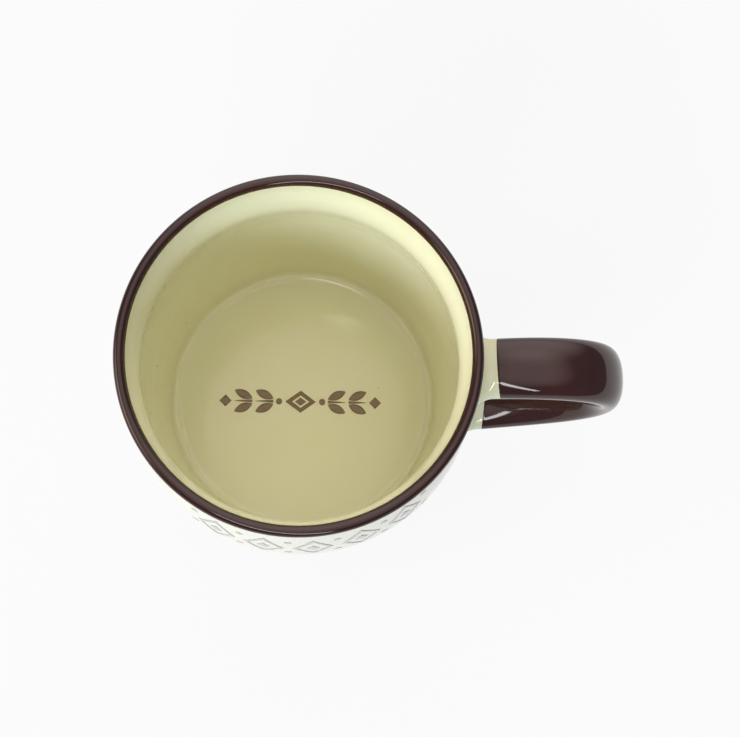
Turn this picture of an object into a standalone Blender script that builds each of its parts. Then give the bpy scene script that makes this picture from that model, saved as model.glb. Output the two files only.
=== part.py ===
"""Glazed stoneware mug: a turned cup, a luted strap handle, and the glazes that cover them."""

import math

import bmesh
import bpy
from mathutils import Vector

# Cup, measured over its glaze, in metres
CUP_HEIGHT = 0.0900
LIP_RADIUS = 0.0427
LIP_THICKNESS = 0.0027
LIP_OVERHANG = 0.0003
NECK_DROP = 0.0075
NECK_EASE = 0.0090
BELLY_RADIUS = 0.0478
BELLY_HEIGHT = 0.0370
BELLY_EASE = 0.0240
HEEL_RADIUS = 0.0410
HEEL_HEIGHT = 0.0022
HEEL_FULLNESS = 0.0075

# Inside of the cup
WALL = 0.0046
LIP_FLARE = 0.0010
INNER_NECK_DROP = 0.0123
INNER_NECK_EASE = 0.0095
INNER_LIP_EASE = 0.0046
INNER_BELLY_HEIGHT = 0.0420
INNER_BELLY_EASE = 0.0220
INNER_TAPER = 0.0008
FLOOR_FILLET = 0.0030
FLOOR_THICKNESS = 0.0048

# Foot ring that the cup stands on
FOOT_STEP = 0.0008
FOOT_WIDTH = 0.0036
FOOT_CHAMFER = 0.0005
FOOT_RECESS = 0.0016
RECESS_SLOPE = 0.0012

# Glazes, and the gap kept between neighbouring pieces
GLAZE = 0.0004
CLEARANCE = 0.0003
BAND_OUTSIDE = 0.0050
BAND_INSIDE = 0.0015

# Strap handle, measured over its glaze
STRAP_WIDTH = 0.0154
STRAP_THICKNESS = 0.0088
STRAP_SQUARENESS = 2.3
STRAP_WIDENING = 0.0014
ROOT_FLARE = 0.0021
FLARE_POWER = 4
FINGER_GAP = 0.0310
UPPER_ROOT_DROP = 0.0243
LOWER_ROOT_HEIGHT = 0.0225
ELBOW_DROP = 0.0165
UPPER_RISE = math.radians(26.0)
LOWER_RISE = math.radians(4.0)
UPPER_REACH = 0.0270
UPPER_SHOULDER = 0.0185
LOWER_SHOULDER = 0.0145
LOWER_REACH = 0.0260
UPPER_CREAM = 0.0059
LOWER_CREAM = 0.0073
SLIP = 0.0010
ROOT_DEPTH = 0.0035

# Facets
TURN_STEPS = 40
SHOULDER_STEPS = 8
CURVE_STEPS = 6
LIP_STEPS = 6
FILLET_STEPS = 4
GENTLE_STEPS = 3
SECTION_STEPS = 18
STRAP_STEPS = 20
ROOT_STEPS = 4
PATH_STEPS = 160
HALVINGS = 40
MERGE_DISTANCE = 1e-7
SHARP_EDGE = math.radians(40.0)

# Finishes: base colour in linear RGB, roughness
STONEWARE = ("stoneware", (0.62, 0.55, 0.44), 0.75)
CREAM = ("cream_glaze", (0.72, 0.68, 0.40), 0.12)
WHITE = ("white_glaze", (0.86, 0.85, 0.76), 0.12)
BROWN = ("brown_glaze", (0.060, 0.034, 0.024), 0.10)
SLIP_CLAY = ("slip_clay", (0.58, 0.52, 0.43), 0.85)

# Sizes that follow from the ones above
COAT = GLAZE + CLEARANCE
HALF_GAP = CLEARANCE / 2
LIP_CENTRE_HEIGHT = CUP_HEIGHT - LIP_THICKNESS / 2
INNER_LIP_RADIUS = LIP_RADIUS - LIP_THICKNESS
INNER_NECK_RADIUS = INNER_LIP_RADIUS - LIP_FLARE
INNER_BELLY_RADIUS = BELLY_RADIUS - WALL
FLOOR_HEIGHT = FOOT_RECESS + FLOOR_THICKNESS
FOOT_RADIUS = HEEL_RADIUS - FOOT_STEP
STRAP_REACH = BELLY_RADIUS + FINGER_GAP + STRAP_THICKNESS / 2
OVERALL_REACH = STRAP_REACH + STRAP_THICKNESS / 2
AXIS_X = (BELLY_RADIUS - OVERALL_REACH) / 2


def bezier(control, t):
    """Point of a cubic curve at t, from its four control points."""
    a, b, c, d = control
    s = 1.0 - t
    return tuple(
        s ** 3 * a[k] + 3 * s * s * t * b[k] + 3 * s * t * t * c[k] + t ** 3 * d[k] for k in range(2)
    )


def curve(control, steps, start=0.0, end=1.0):
    """Points along part of a cubic curve, both ends included."""
    return [bezier(control, start + (end - start) * k / steps) for k in range(steps + 1)]


def upright(low, low_ease, high, high_ease):
    """Curve from a low point to a high one that leaves and arrives vertically."""
    return (low, (low[0], low[1] + low_ease), (high[0], high[1] - high_ease), high)


def at_height(control, height):
    """Parameter where a curve that rises or falls steadily reaches a height."""
    rises = control[3][1] > control[0][1]
    low, high = 0.0, 1.0
    for _ in range(HALVINGS):
        middle = (low + high) / 2
        if (bezier(control, middle)[1] < height) == rises:
            low = middle
        else:
            high = middle
    return (low + high) / 2


# Outline of the outside, heel to lip, as radius and height
HEEL = (
    (HEEL_RADIUS, HEEL_HEIGHT),
    (HEEL_RADIUS + HEEL_FULLNESS, HEEL_HEIGHT + HEEL_FULLNESS / 2),
    (BELLY_RADIUS, (BELLY_HEIGHT + HEEL_HEIGHT) / 2),
    (BELLY_RADIUS, BELLY_HEIGHT),
)
NECK = (LIP_RADIUS - LIP_OVERHANG, CUP_HEIGHT - NECK_DROP)
LIP_SIDE = (LIP_RADIUS, LIP_CENTRE_HEIGHT)
LIP_EASE = (LIP_SIDE[1] - NECK[1]) / 3
SHOULDER = upright((BELLY_RADIUS, BELLY_HEIGHT), BELLY_EASE, NECK, NECK_EASE)
COLLAR = upright(NECK, LIP_EASE, LIP_SIDE, LIP_EASE)


def outside_radius(height):
    """Finished radius of the outside at a height."""
    stretch = HEEL if height < BELLY_HEIGHT else SHOULDER if height < NECK[1] else COLLAR
    return bezier(stretch, at_height(stretch, height))[0]


# Outline of the inside, lip to floor, where the wall thickens by its taper down to the heel
INNER_LIP = (INNER_LIP_RADIUS, LIP_CENTRE_HEIGHT)
INNER_NECK = (INNER_NECK_RADIUS, CUP_HEIGHT - INNER_NECK_DROP)
INNER_BELLY = (INNER_BELLY_RADIUS, INNER_BELLY_HEIGHT)
FILLET_HEIGHT = FLOOR_HEIGHT + FLOOR_FILLET
FILLET_TOP = (outside_radius(FILLET_HEIGHT) - WALL - INNER_TAPER, FILLET_HEIGHT)
INNER_HEEL_EASE = (INNER_BELLY[1] - FILLET_TOP[1]) / 3
MOUTH = upright(INNER_NECK, INNER_LIP_EASE, INNER_LIP, INNER_LIP_EASE)[::-1]
INNER_SHOULDER = upright(INNER_BELLY, INNER_BELLY_EASE, INNER_NECK, INNER_NECK_EASE)[::-1]
INNER_HEEL = upright(FILLET_TOP, INNER_HEEL_EASE, INNER_BELLY, INNER_HEEL_EASE)[::-1]


def arc(centre, radius, start, end, steps):
    """Points along a circular arc, both ends included, angles in radians."""
    angles = [start + (end - start) * k / steps for k in range(steps + 1)]
    return [(centre[0] + radius * math.cos(a), centre[1] + radius * math.sin(a)) for a in angles]


def chain(*stretches):
    """Join stretches of outline end to end, keeping each shared point once."""
    points = list(stretches[0])
    for stretch in stretches[1:]:
        points += stretch[1:]
    return points


def outside_line(top_height):
    """Outside of the cup from the heel up to a height on its collar."""
    end = at_height(COLLAR, top_height)
    return chain(curve(HEEL, CURVE_STEPS), curve(SHOULDER, SHOULDER_STEPS), curve(COLLAR, 1, 0.0, end))


def lip_line(outside_height, inside_height):
    """Over the lip, from a height on the outside to a height on the inside."""
    centre = (LIP_RADIUS - LIP_THICKNESS / 2, LIP_CENTRE_HEIGHT)
    side = curve(COLLAR, 2, at_height(COLLAR, outside_height), 1.0)
    top = arc(centre, LIP_THICKNESS / 2, 0.0, math.pi, LIP_STEPS)
    return chain(side, top, curve(MOUTH, 1, 0.0, at_height(MOUTH, inside_height)))


def inside_line(top_height):
    """Inside of the cup from a height on its mouth down to the middle of the floor."""
    centre = (FILLET_TOP[0] - FLOOR_FILLET, FILLET_HEIGHT)
    return chain(
        curve(MOUTH, GENTLE_STEPS, at_height(MOUTH, top_height), 1.0),
        curve(INNER_SHOULDER, CURVE_STEPS),
        curve(INNER_HEEL, GENTLE_STEPS),
        arc(centre, FLOOR_FILLET, 0.0, -math.pi / 2, FILLET_STEPS),
        [(centre[0], FLOOR_HEIGHT), (0.0, FLOOR_HEIGHT)],
    )


def inset(points, depth):
    """Move an outline into the clay, which lies on its left from heel to floor."""
    moved = []
    for k, point in enumerate(points):
        before = points[max(k - 1, 0)]
        after = points[min(k + 1, len(points) - 1)]
        run, rise = after[0] - before[0], after[1] - before[1]
        length = math.hypot(run, rise)
        radius = 0.0 if point[0] == 0.0 else point[0] - depth * rise / length
        moved.append((radius, point[1] + depth * run / length))
    return moved


def glaze_material(finish):
    """Principled material for one of the finishes, made once."""
    name, colour, roughness = finish
    if name in bpy.data.materials:
        return bpy.data.materials[name]
    material = bpy.data.materials.new(name)
    material.use_nodes = True
    shader = material.node_tree.nodes["Principled BSDF"]
    shader.inputs["Base Color"].default_value = (*colour, 1.0)
    shader.inputs["Roughness"].default_value = roughness
    shader.inputs["Metallic"].default_value = 0.0
    material.diffuse_color = (*colour, 1.0)
    return material


def new_object(name, mesh_source, finish):
    """Object made from a bmesh, shaded smooth and parented to the cup's axis."""
    bmesh.ops.recalc_face_normals(mesh_source, faces=mesh_source.faces)
    mesh = bpy.data.meshes.new(name)
    mesh_source.to_mesh(mesh)
    mesh_source.free()
    mesh.shade_smooth()
    mesh.set_sharp_from_angle(angle=SHARP_EDGE)
    mesh.materials.append(glaze_material(finish))
    piece = bpy.data.objects.new(name, mesh)
    piece.parent = cup_axis
    bpy.context.scene.collection.objects.link(piece)
    return piece


def turned(name, points, finish, closed=True):
    """Turn an outline of radius and height about the cup's axis."""
    source = bmesh.new()
    verts = [source.verts.new((radius, 0.0, height)) for radius, height in points]
    edges = [source.edges.new(pair) for pair in zip(verts, verts[1:])]
    if closed:
        edges.append(source.edges.new((verts[-1], verts[0])))
    bmesh.ops.spin(
        source,
        geom=verts + edges,
        cent=(0.0, 0.0, 0.0),
        axis=(0.0, 0.0, 1.0),
        angle=math.tau,
        steps=TURN_STEPS,
        use_merge=True,
    )
    bmesh.ops.remove_doubles(source, verts=source.verts, dist=MERGE_DISTANCE)
    return new_object(name, source, finish)


def coat(name, points, finish):
    """Glaze coat: the shell between a finished outline and the same line inset by its thickness."""
    shell = points[::-1] + inset(points, GLAZE)
    return turned(name, shell, finish, closed=points[-1][0] > 0.0)


def as_cutter(piece):
    """Keep a shape only as a tool for cutting others."""
    piece.hide_render = True
    piece.display_type = "WIRE"
    return piece


def cut(piece, tool, operation="DIFFERENCE"):
    """Cut a piece with a tool."""
    step = piece.modifiers.new(tool.name, "BOOLEAN")
    step.operation = operation
    step.solver = "EXACT"
    step.object = tool


def wall_tool(name, lift):
    """Solid whose side stands a given lift above the glaze's underside."""
    side = inset(outside_line(CUP_HEIGHT - BAND_OUTSIDE), GLAZE - lift)
    return as_cutter(turned(name, [(0.0, side[0][1])] + side + [(0.0, side[-1][1])], STONEWARE, closed=False))


# Middle line of the strap, in the plane through the handle, from the upper root to the lower one
UPPER_ROOT_HEIGHT = CUP_HEIGHT - UPPER_ROOT_DROP
UPPER_START = (outside_radius(UPPER_ROOT_HEIGHT) - ROOT_DEPTH, UPPER_ROOT_HEIGHT)
LOWER_START = (outside_radius(LOWER_ROOT_HEIGHT) - ROOT_DEPTH, LOWER_ROOT_HEIGHT)
ELBOW = (STRAP_REACH, UPPER_ROOT_HEIGHT - ELBOW_DROP)


def leaving(start, reach, rise):
    """Control point at a reach from where the strap leaves the wall, at its rise there."""
    return start[0] + reach * math.cos(rise), start[1] + reach * math.sin(rise)


UPPER_LIMB = (
    UPPER_START,
    leaving(UPPER_START, UPPER_REACH, UPPER_RISE),
    (ELBOW[0], ELBOW[1] + UPPER_SHOULDER),
    ELBOW,
)
LOWER_LIMB = (
    ELBOW,
    (ELBOW[0], ELBOW[1] - LOWER_SHOULDER),
    leaving(LOWER_START, LOWER_REACH, LOWER_RISE),
    LOWER_START,
)
STRAP_LINE = chain(curve(UPPER_LIMB, PATH_STEPS), curve(LOWER_LIMB, PATH_STEPS))


def running_lengths(points):
    """Distance along a line at each of its points."""
    lengths = [0.0]
    for one, two in zip(points, points[1:]):
        lengths.append(lengths[-1] + math.dist(one, two))
    return lengths


STRAP_LENGTHS = running_lengths(STRAP_LINE)
STRAP_LENGTH = STRAP_LENGTHS[-1]


def clear_of_wall():
    """Lengths along the strap where its middle line leaves the finished wall and comes back to it."""
    outside = [
        length
        for (radius, height), length in zip(STRAP_LINE, STRAP_LENGTHS)
        if radius > outside_radius(height)
    ]
    return outside[0], outside[-1]


LEAVES_WALL, MEETS_WALL = clear_of_wall()
BROWN_START = LEAVES_WALL + UPPER_CREAM
BROWN_END = MEETS_WALL - LOWER_CREAM


def strap_frame(length):
    """Point on the strap's middle line and its direction there."""
    k = 1
    while k < len(STRAP_LENGTHS) - 1 and STRAP_LENGTHS[k] < length:
        k += 1
    one, two = STRAP_LINE[k - 1], STRAP_LINE[k]
    span = STRAP_LENGTHS[k] - STRAP_LENGTHS[k - 1]
    share = (length - STRAP_LENGTHS[k - 1]) / span
    point = (one[0] + (two[0] - one[0]) * share, one[1] + (two[1] - one[1]) * share)
    return point, ((two[0] - one[0]) / span, (two[1] - one[1]) / span)


def half_width(length):
    """Half the strap's width, which widens steadily from the upper root and flares into the lower one."""
    share = (length - LEAVES_WALL) / (MEETS_WALL - LEAVES_WALL)
    return STRAP_WIDTH / 2 + STRAP_WIDENING * share + ROOT_FLARE * share ** FLARE_POWER


def section(length, grow):
    """Oval section of the strap at a length, grown or shrunk all round."""
    (radius, height), (run, rise) = strap_frame(length)
    wide = half_width(length) + grow
    thick = STRAP_THICKNESS / 2 + grow
    ring = []
    for k in range(SECTION_STEPS):
        angle = math.tau * k / SECTION_STEPS
        across = math.copysign(abs(math.cos(angle)) ** (2 / STRAP_SQUARENESS), math.cos(angle))
        through = math.copysign(abs(math.sin(angle)) ** (2 / STRAP_SQUARENESS), math.sin(angle))
        ring.append(Vector((radius - rise * thick * through, wide * across, height + run * thick * through)))
    return ring


def lofted(name, rings, finish, tube=False):
    """Skin a row of rings, capped at both ends, or joined into a tube where the last meets the first."""
    source = bmesh.new()
    loops = [[source.verts.new(point) for point in ring] for ring in rings]
    rows = list(zip(loops, loops[1:]))
    if tube:
        rows.append((loops[-1], loops[0]))
    else:
        source.faces.new(loops[0][::-1])
        source.faces.new(loops[-1])
    for one, two in rows:
        for k in range(SECTION_STEPS):
            j = (k + 1) % SECTION_STEPS
            source.faces.new((one[k], one[j], two[j], two[k]))
    return new_object(name, source, finish)


def lengths_between(start, end, steps):
    """Even lengths along the strap, both ends included."""
    return [start + (end - start) * k / steps for k in range(steps + 1)]


def strap_solid(name, start, end, steps, grow, finish):
    """Solid stretch of strap."""
    return lofted(name, [section(s, grow) for s in lengths_between(start, end, steps)], finish)


def strap_sleeve(name, start, end, steps, finish):
    """Glaze sleeve round a stretch of strap."""
    lengths = lengths_between(start, end, steps)
    rings = [section(s, 0.0) for s in lengths] + [section(s, -GLAZE) for s in reversed(lengths)]
    return lofted(name, rings, finish, tube=True)


def foot_line():
    """Bare clay from the middle of the recess, under the foot ring and out to the heel."""
    recess = FOOT_RECESS + COAT
    inner = FOOT_RADIUS - FOOT_WIDTH
    return [
        (0.0, recess),
        (inner - RECESS_SLOPE, recess),
        (inner, FOOT_CHAMFER),
        (inner + FOOT_CHAMFER, 0.0),
        (FOOT_RADIUS - FOOT_CHAMFER, 0.0),
        (FOOT_RADIUS, FOOT_CHAMFER),
    ]


def make_cup_body():
    """Clay cup: foot ring, wall and floor, inset under its glazes."""
    band_low = CUP_HEIGHT - BAND_OUTSIDE
    band_inside = CUP_HEIGHT - BAND_INSIDE
    skin = chain(outside_line(band_low), lip_line(band_low, band_inside), inside_line(band_inside))
    return turned("cup_body", foot_line() + inset(skin, COAT), STONEWARE, closed=False)


def make_cup_glazes():
    """Glazes of the cup: outside, lip band, inside and the recess underneath."""
    band_low = CUP_HEIGHT - BAND_OUTSIDE
    band_inside = CUP_HEIGHT - BAND_INSIDE
    outer = coat("outer_glaze", outside_line(band_low - HALF_GAP), WHITE)
    coat("rim_glaze_band", lip_line(band_low + HALF_GAP, band_inside + HALF_GAP), BROWN)
    coat("inner_glaze", inside_line(band_inside - HALF_GAP), CREAM)
    edge = FOOT_RADIUS - FOOT_WIDTH - RECESS_SLOPE - CLEARANCE
    disc = [(0.0, FOOT_RECESS + GLAZE), (edge, FOOT_RECESS + GLAZE), (edge, FOOT_RECESS), (0.0, FOOT_RECESS)]
    turned("base_glaze", disc, WHITE, closed=False)
    return outer


def make_handle(outer_glaze):
    """Clay strap, its two slip joints and its glaze sleeves, let into the outside glaze."""
    glaze_underside = wall_tool("glaze_underside_tool", 0.0)
    slip_face = wall_tool("slip_face_tool", SLIP)
    strap_face = wall_tool("strap_face_tool", SLIP + CLEARANCE)
    strap = strap_solid("handle_strap", 0.0, STRAP_LENGTH, STRAP_STEPS, -COAT, STONEWARE)
    cut(strap, strap_face)
    strap_sleeve("handle_brown_glaze", BROWN_START + HALF_GAP, BROWN_END - HALF_GAP, STRAP_STEPS, BROWN)
    roots = (("upper", 0.0, BROWN_START - HALF_GAP), ("lower", BROWN_END + HALF_GAP, STRAP_LENGTH))
    for side, start, end in roots:
        slip = strap_solid(f"{side}_slip_joint", start, end, ROOT_STEPS, -COAT, SLIP_CLAY)
        cut(slip, slip_face, "INTERSECT")
        cut(slip, glaze_underside)
        sleeve = strap_sleeve(f"{side}_root_glaze", start, end, ROOT_STEPS, CREAM)
        cut(sleeve, glaze_underside)
        window = as_cutter(strap_solid(f"{side}_window_tool", start, end, ROOT_STEPS, CLEARANCE, STONEWARE))
        cut(outer_glaze, window)


for old in list(bpy.data.objects):
    bpy.data.objects.remove(old, do_unlink=True)

cup_axis = bpy.data.objects.new("cup_axis", None)
cup_axis.location = (AXIS_X, 0.0, 0.0)
bpy.context.scene.collection.objects.link(cup_axis)
make_cup_body()
make_handle(make_cup_glazes())
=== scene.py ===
# %% [markdown]
# # A glazed stoneware mug, looked at from above
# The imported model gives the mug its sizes: a turned cup, a strap handle and the glazes on them.
# This notebook dresses it. Every coat of glaze is modelled again as a fine, smooth skin on the same
# outlines, because a glossy surface shows every facet in its reflections. The light, the floor and the
# camera come last.

# %% Load the frame
import math

import bmesh
import bpy
import numpy as np
from mathutils import Euler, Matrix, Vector


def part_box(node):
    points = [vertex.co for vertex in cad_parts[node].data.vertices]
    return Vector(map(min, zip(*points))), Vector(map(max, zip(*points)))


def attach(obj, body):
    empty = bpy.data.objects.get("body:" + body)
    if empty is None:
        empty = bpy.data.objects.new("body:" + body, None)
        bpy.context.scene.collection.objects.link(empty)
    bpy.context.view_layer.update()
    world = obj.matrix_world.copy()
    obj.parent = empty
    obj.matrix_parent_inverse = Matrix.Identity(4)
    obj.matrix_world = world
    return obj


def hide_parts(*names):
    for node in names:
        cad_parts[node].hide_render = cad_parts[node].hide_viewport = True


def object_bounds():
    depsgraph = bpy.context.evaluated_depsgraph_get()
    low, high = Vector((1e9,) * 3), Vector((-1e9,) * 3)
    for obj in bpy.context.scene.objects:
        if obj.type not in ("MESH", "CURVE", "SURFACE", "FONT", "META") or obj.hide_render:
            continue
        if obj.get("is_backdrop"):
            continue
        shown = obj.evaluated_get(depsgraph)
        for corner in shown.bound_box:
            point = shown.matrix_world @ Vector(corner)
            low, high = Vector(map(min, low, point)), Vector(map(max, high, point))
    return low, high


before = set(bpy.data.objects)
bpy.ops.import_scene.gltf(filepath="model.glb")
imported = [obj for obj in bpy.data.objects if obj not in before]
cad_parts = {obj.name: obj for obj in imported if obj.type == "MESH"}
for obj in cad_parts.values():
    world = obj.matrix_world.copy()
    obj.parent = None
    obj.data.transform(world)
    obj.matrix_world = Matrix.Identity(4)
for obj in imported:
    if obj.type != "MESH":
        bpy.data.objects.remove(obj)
cad_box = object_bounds()
print("CAD nodes:", ", ".join(sorted(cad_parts)))

# %% [markdown]
# ## Sizes
# The main sizes are read from the frame, so the fine pieces land where the solids are. The belly and the
# strap's end stay a hair inside the solid model's box. The small sizes, such as how far the neck is drawn in,
# are written here in millimetres as a potter would give them. Everything that turns is described about the
# cup's own axis, which stands a little to the left of the origin.

# %% Main sizes from the frame
MM = 0.001
HAIR = 0.02 * MM
lip_low, lip_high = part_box("rim_glaze_band")
wall_low, wall_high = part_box("outer_glaze")
strap_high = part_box("handle_brown_glaze")[1]
CUP_AXIS = Vector(((lip_low.x + lip_high.x) / 2, 0.0, 0.0))
CUP_HEIGHT = lip_high.z
LIP_RADIUS = (lip_high.y - lip_low.y) / 2
BELLY_RADIUS = (wall_high.y - wall_low.y) / 2 - HAIR
STRAP_END = strap_high.x - CUP_AXIS.x - HAIR
print("cup axis at x %.2f mm, height %.1f mm" % (CUP_AXIS.x / MM, CUP_HEIGHT / MM))
print("lip %.1f mm and belly %.1f mm across" % (2 * LIP_RADIUS / MM, 2 * BELLY_RADIUS / MM))

# %% [markdown]
# ## The cup's outline
# A thrown or jiggered cup is a solid of revolution, so one line of radius and height says all of its shape.
# The wall is a row of cubic curves. They meet upright, the way a rib pressed on turning clay leaves them, and
# only the lowest one starts at a slant, at the heel. The lip is half a circle, and a quarter circle rounds
# the wall into the floor. A mesh modelled by hand would do too, but an outline keeps the lip, the neck and
# the belly true from every side.

# %% Curves
def bezier(control, count):
    """Points along a cubic curve of radius and height, both ends included."""
    a, b, c, d = (np.array(point) for point in control)
    t = np.linspace(0.0, 1.0, count)[:, None]
    s = 1.0 - t
    return s ** 3 * a + 3 * s * s * t * b + 3 * s * t * t * c + t ** 3 * d


def upright(low, low_ease, high, high_ease):
    """Control points of a curve that leaves and arrives vertically."""
    return low, (low[0], low[1] + low_ease), (high[0], high[1] - high_ease), high


def arc(centre, radius, start, end, count):
    """Points along a circular arc, angles in radians."""
    angle = np.linspace(start, end, count)
    return np.stack([centre[0] + radius * np.cos(angle), centre[1] + radius * np.sin(angle)], axis=1)


def chain(*stretches):
    """Stretches of outline joined end to end, each shared point kept once."""
    return np.concatenate([stretches[0]] + [stretch[1:] for stretch in stretches[1:]])


print("half a circle in five points:", arc((0.0, 0.0), 1.0, 0.0, math.pi, 5).round(2).tolist())

# %% Outside, from the heel to the lip
LIP_THICKNESS = 2.7 * MM
NECK_DRAW = 0.3 * MM
NECK_DROP = 7.5 * MM
NECK = (LIP_RADIUS - NECK_DRAW, CUP_HEIGHT - NECK_DROP)
BELLY = (BELLY_RADIUS, 37.0 * MM)
HEEL = (41.0 * MM, 2.2 * MM)
HEEL_FULLNESS = 7.5 * MM
BELLY_EASE = 24.0 * MM
NECK_EASE = 9.0 * MM
HEEL_POINTS = 44
SHOULDER_POINTS = 56
COLLAR_POINTS = 30
LIP_SIDE = (LIP_RADIUS, CUP_HEIGHT - LIP_THICKNESS / 2)
COLLAR_EASE = (LIP_SIDE[1] - NECK[1]) / 3
heel_curve = (
    HEEL,
    (HEEL[0] + HEEL_FULLNESS, HEEL[1] + HEEL_FULLNESS / 2),
    (BELLY[0], (BELLY[1] + HEEL[1]) / 2),
    BELLY,
)
outside = chain(
    bezier(heel_curve, HEEL_POINTS),
    bezier(upright(BELLY, BELLY_EASE, NECK, NECK_EASE), SHOULDER_POINTS),
    bezier(upright(NECK, COLLAR_EASE, LIP_SIDE, COLLAR_EASE), COLLAR_POINTS),
)


def wall_radius(height):
    """Radius of the finished outside at a height, or at an array of heights."""
    return np.interp(height, outside[:, 1], outside[:, 0])


print("outside outline: %d points, %.1f mm high" % (len(outside), outside[-1, 1] / MM))

# %% Lip and inside, down to the middle of the floor
WALL = 4.6 * MM
WALL_TAPER = 0.8 * MM
FLOOR_HEIGHT = 6.4 * MM
FLOOR_FILLET = 3.0 * MM
INNER_NECK_DRAW = 1.0 * MM
INNER_NECK_DROP = 12.3 * MM
INNER_LIP_EASE = 4.6 * MM
INNER_NECK_EASE = 9.5 * MM
INNER_BELLY_EASE = 22.0 * MM
LIP_POINTS = 29
MOUTH_POINTS = 40
INNER_SHOULDER_POINTS = 64
INNER_HEEL_POINTS = 36
FILLET_POINTS = 20
FLOOR_POINTS = 20
lip_centre = (LIP_RADIUS - LIP_THICKNESS / 2, LIP_SIDE[1])
INNER_LIP = (LIP_RADIUS - LIP_THICKNESS, LIP_SIDE[1])
INNER_NECK = (INNER_LIP[0] - INNER_NECK_DRAW, CUP_HEIGHT - INNER_NECK_DROP)
INNER_BELLY = (BELLY_RADIUS - WALL, 42.0 * MM)
fillet_height = FLOOR_HEIGHT + FLOOR_FILLET
FILLET_TOP = (wall_radius(fillet_height) - WALL - WALL_TAPER, fillet_height)
INNER_HEEL_EASE = (INNER_BELLY[1] - FILLET_TOP[1]) / 3
fillet_centre = (FILLET_TOP[0] - FLOOR_FILLET, FILLET_TOP[1])
mouth_curve = upright(INNER_NECK, INNER_LIP_EASE, INNER_LIP, INNER_LIP_EASE)
shoulder_curve = upright(INNER_BELLY, INNER_BELLY_EASE, INNER_NECK, INNER_NECK_EASE)
inner_heel_curve = upright(FILLET_TOP, INNER_HEEL_EASE, INNER_BELLY, INNER_HEEL_EASE)
lip = arc(lip_centre, LIP_THICKNESS / 2, 0.0, math.pi, LIP_POINTS)
mouth = bezier(mouth_curve, MOUTH_POINTS)[::-1]
inner_wall = chain(
    bezier(shoulder_curve, INNER_SHOULDER_POINTS)[::-1],
    bezier(inner_heel_curve, INNER_HEEL_POINTS)[::-1],
)
fillet = arc(fillet_centre, FLOOR_FILLET, 0.0, -math.pi / 2, FILLET_POINTS)
floor_radii = np.linspace(fillet_centre[0], 0.0, FLOOR_POINTS)
cup_floor = np.stack([floor_radii, np.full_like(floor_radii, FLOOR_HEIGHT)], axis=1)
inside = chain(mouth, inner_wall, fillet, cup_floor)
print("inside outline: %d points, floor %.1f mm across" % (len(inside), 2 * fillet_centre[0] / MM))

# %% [markdown]
# ## Turning
# Blender's spin tool sweeps an outline round the axis, as the wheel does with the clay.
# A coat of glaze is the thin shell between the finished outline and the same line moved 0.4 mm into the clay.
# A surface with no thickness would look the same from here, but a closed shell is a true solid and prints or
# slices well.

# %% From a mesh to a piece
SHARP_ANGLE = math.radians(50.0)


def as_piece(name, source, replaced=()):
    """Object made from a bmesh, shaded smooth, riding on the mug's one body."""
    bmesh.ops.recalc_face_normals(source, faces=source.faces)
    mesh = bpy.data.meshes.new(name)
    source.to_mesh(mesh)
    source.free()
    mesh.shade_smooth()
    mesh.set_sharp_from_angle(angle=SHARP_ANGLE)
    piece = bpy.data.objects.new(name, mesh)
    piece.location = CUP_AXIS
    bpy.context.scene.collection.objects.link(piece)
    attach(piece, "root")
    if replaced:
        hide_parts(*replaced)
    print("%s: %d faces" % (name, len(mesh.polygons)))
    return piece


print("edges sharper than %.0f degrees stay crisp" % math.degrees(SHARP_ANGLE))

# %% From an outline to a mesh
TURN_STEPS = 224
GLAZE = 0.4 * MM
WELD = 1e-7


def turned(outline):
    """Mesh turned from a closed outline, whose points on the axis become single points."""
    source = bmesh.new()
    verts = [source.verts.new((radius, 0.0, height)) for radius, height in outline]
    edges = [source.edges.new(pair) for pair in zip(verts, verts[1:] + verts[:1])]
    bmesh.ops.spin(
        source,
        geom=verts + edges,
        cent=(0, 0, 0),
        axis=(0, 0, 1),
        angle=math.tau,
        steps=TURN_STEPS,
        use_merge=True,
    )
    bmesh.ops.remove_doubles(source, verts=source.verts, dist=WELD)
    return source


def sunk(outline, depth):
    """Outline moved into the clay, which lies on its left from the heel over the lip to the floor."""
    along = np.gradient(outline, axis=0)
    along /= np.linalg.norm(along, axis=1)[:, None]
    moved = outline + depth * np.stack([-along[:, 1], along[:, 0]], axis=1)
    moved[outline[:, 0] == 0.0, 0] = 0.0
    return moved


def coat(outline):
    """Closed outline of a coat of glaze."""
    return np.concatenate([outline, sunk(outline, GLAZE)[::-1]])


print("a coat of glaze is %.1f mm thick and turned in %d steps" % (GLAZE / MM, TURN_STEPS))

# %% [markdown]
# ## Clay cup
# Under its glazes the cup is one piece of buff stoneware. It shows only at the foot ring, which is wiped
# clean so that the mug doesn't stick to the kiln shelf. The ring has small chamfers, and the base inside it
# is recessed. The clay lies a third of a millimetre below the glazes, out of sight, so it needs only every
# fourth point of the finished outline.

# %% Clay cup with its foot ring
FOOT_STEP = 0.8 * MM
FOOT_WIDTH = 3.6 * MM
FOOT_CHAMFER = 0.5 * MM
FOOT_RECESS = 1.6 * MM
RECESS_SLOPE = 1.2 * MM
CLEARANCE = 0.3 * MM
CLAY_STRIDE = 4
clay_depth = GLAZE + CLEARANCE
foot_outer = HEEL[0] - FOOT_STEP
foot_inner = foot_outer - FOOT_WIDTH
clay_recess = FOOT_RECESS + clay_depth
foot = np.array([
    (0.0, clay_recess),
    (foot_inner - RECESS_SLOPE, clay_recess),
    (foot_inner, FOOT_CHAMFER),
    (foot_inner + FOOT_CHAMFER, 0.0),
    (foot_outer - FOOT_CHAMFER, 0.0),
    (foot_outer, FOOT_CHAMFER),
])
whole_skin = chain(outside, lip, inside)
clay_line = sunk(whole_skin, clay_depth)[::-CLAY_STRIDE][::-1]
clay_outline = np.concatenate([foot, clay_line])
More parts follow.
